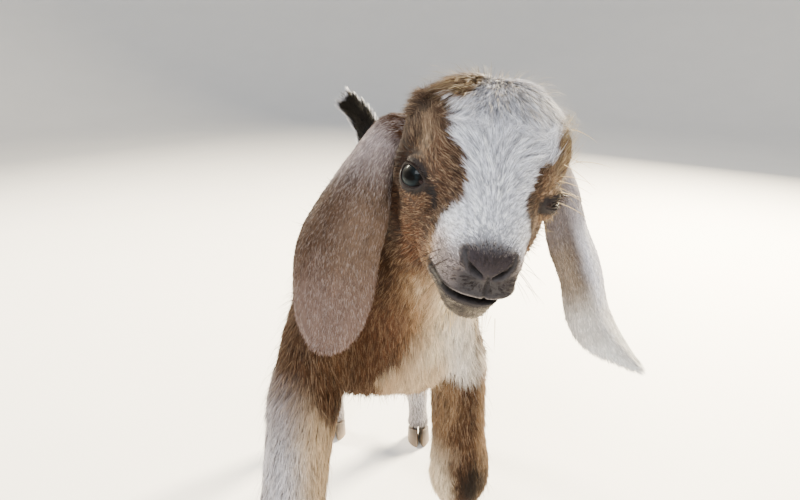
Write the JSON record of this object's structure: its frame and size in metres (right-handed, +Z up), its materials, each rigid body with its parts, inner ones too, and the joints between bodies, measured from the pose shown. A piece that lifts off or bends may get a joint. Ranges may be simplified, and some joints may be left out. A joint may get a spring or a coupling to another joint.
{
  "type": "goat kid",
  "caption": "Still life-size model of a young lop-eared goat kid, standing with its head lowered and turned, one foreleg forward and tail up.",
  "frame": {"origin": "on the floor under the middle of the kid's bounding box", "axes": "+Z up, the kid faces -Y and has its left side at +X"},
  "size_m": [0.2384, 0.5004, 0.4568],
  "materials": {
    "brown_coat": "short soft hair",
    "white_coat": "short soft hair",
    "ear_coat": "short roan hair",
    "tail_coat": "soft hair, black with a white fringe",
    "eye": "wet and glossy",
    "horn": "smooth horn with fine growth rings"
  },
  "bodies": {
    "root": {"head": "brown_coat", "neck": "brown_coat", "torso": "brown_coat", "tail": "tail_coat", "ear_left": "ear_coat", "ear_right": "ear_coat", "eye_left": "eye", "eye_right": "eye", "foreleg_left": "brown_coat", "foreleg_right": "white_coat", "hindleg_left": "white_coat", "hindleg_right": "white_coat", "hoof_fore_left_a": "horn", "hoof_fore_left_b": "horn", "hoof_fore_right_a": "horn", "hoof_fore_right_b": "horn", "hoof_hind_left_a": "horn", "hoof_hind_left_b": "horn", "hoof_hind_right_a": "horn", "hoof_hind_right_b": "horn", "dewclaw_fore_left_a": "horn", "dewclaw_fore_left_b": "horn", "dewclaw_fore_right_a": "horn", "dewclaw_fore_right_b": "horn", "dewclaw_hind_left_a": "horn", "dewclaw_hind_left_b": "horn", "dewclaw_hind_right_a": "horn", "dewclaw_hind_right_b": "horn"}
  },
  "joints": []
}
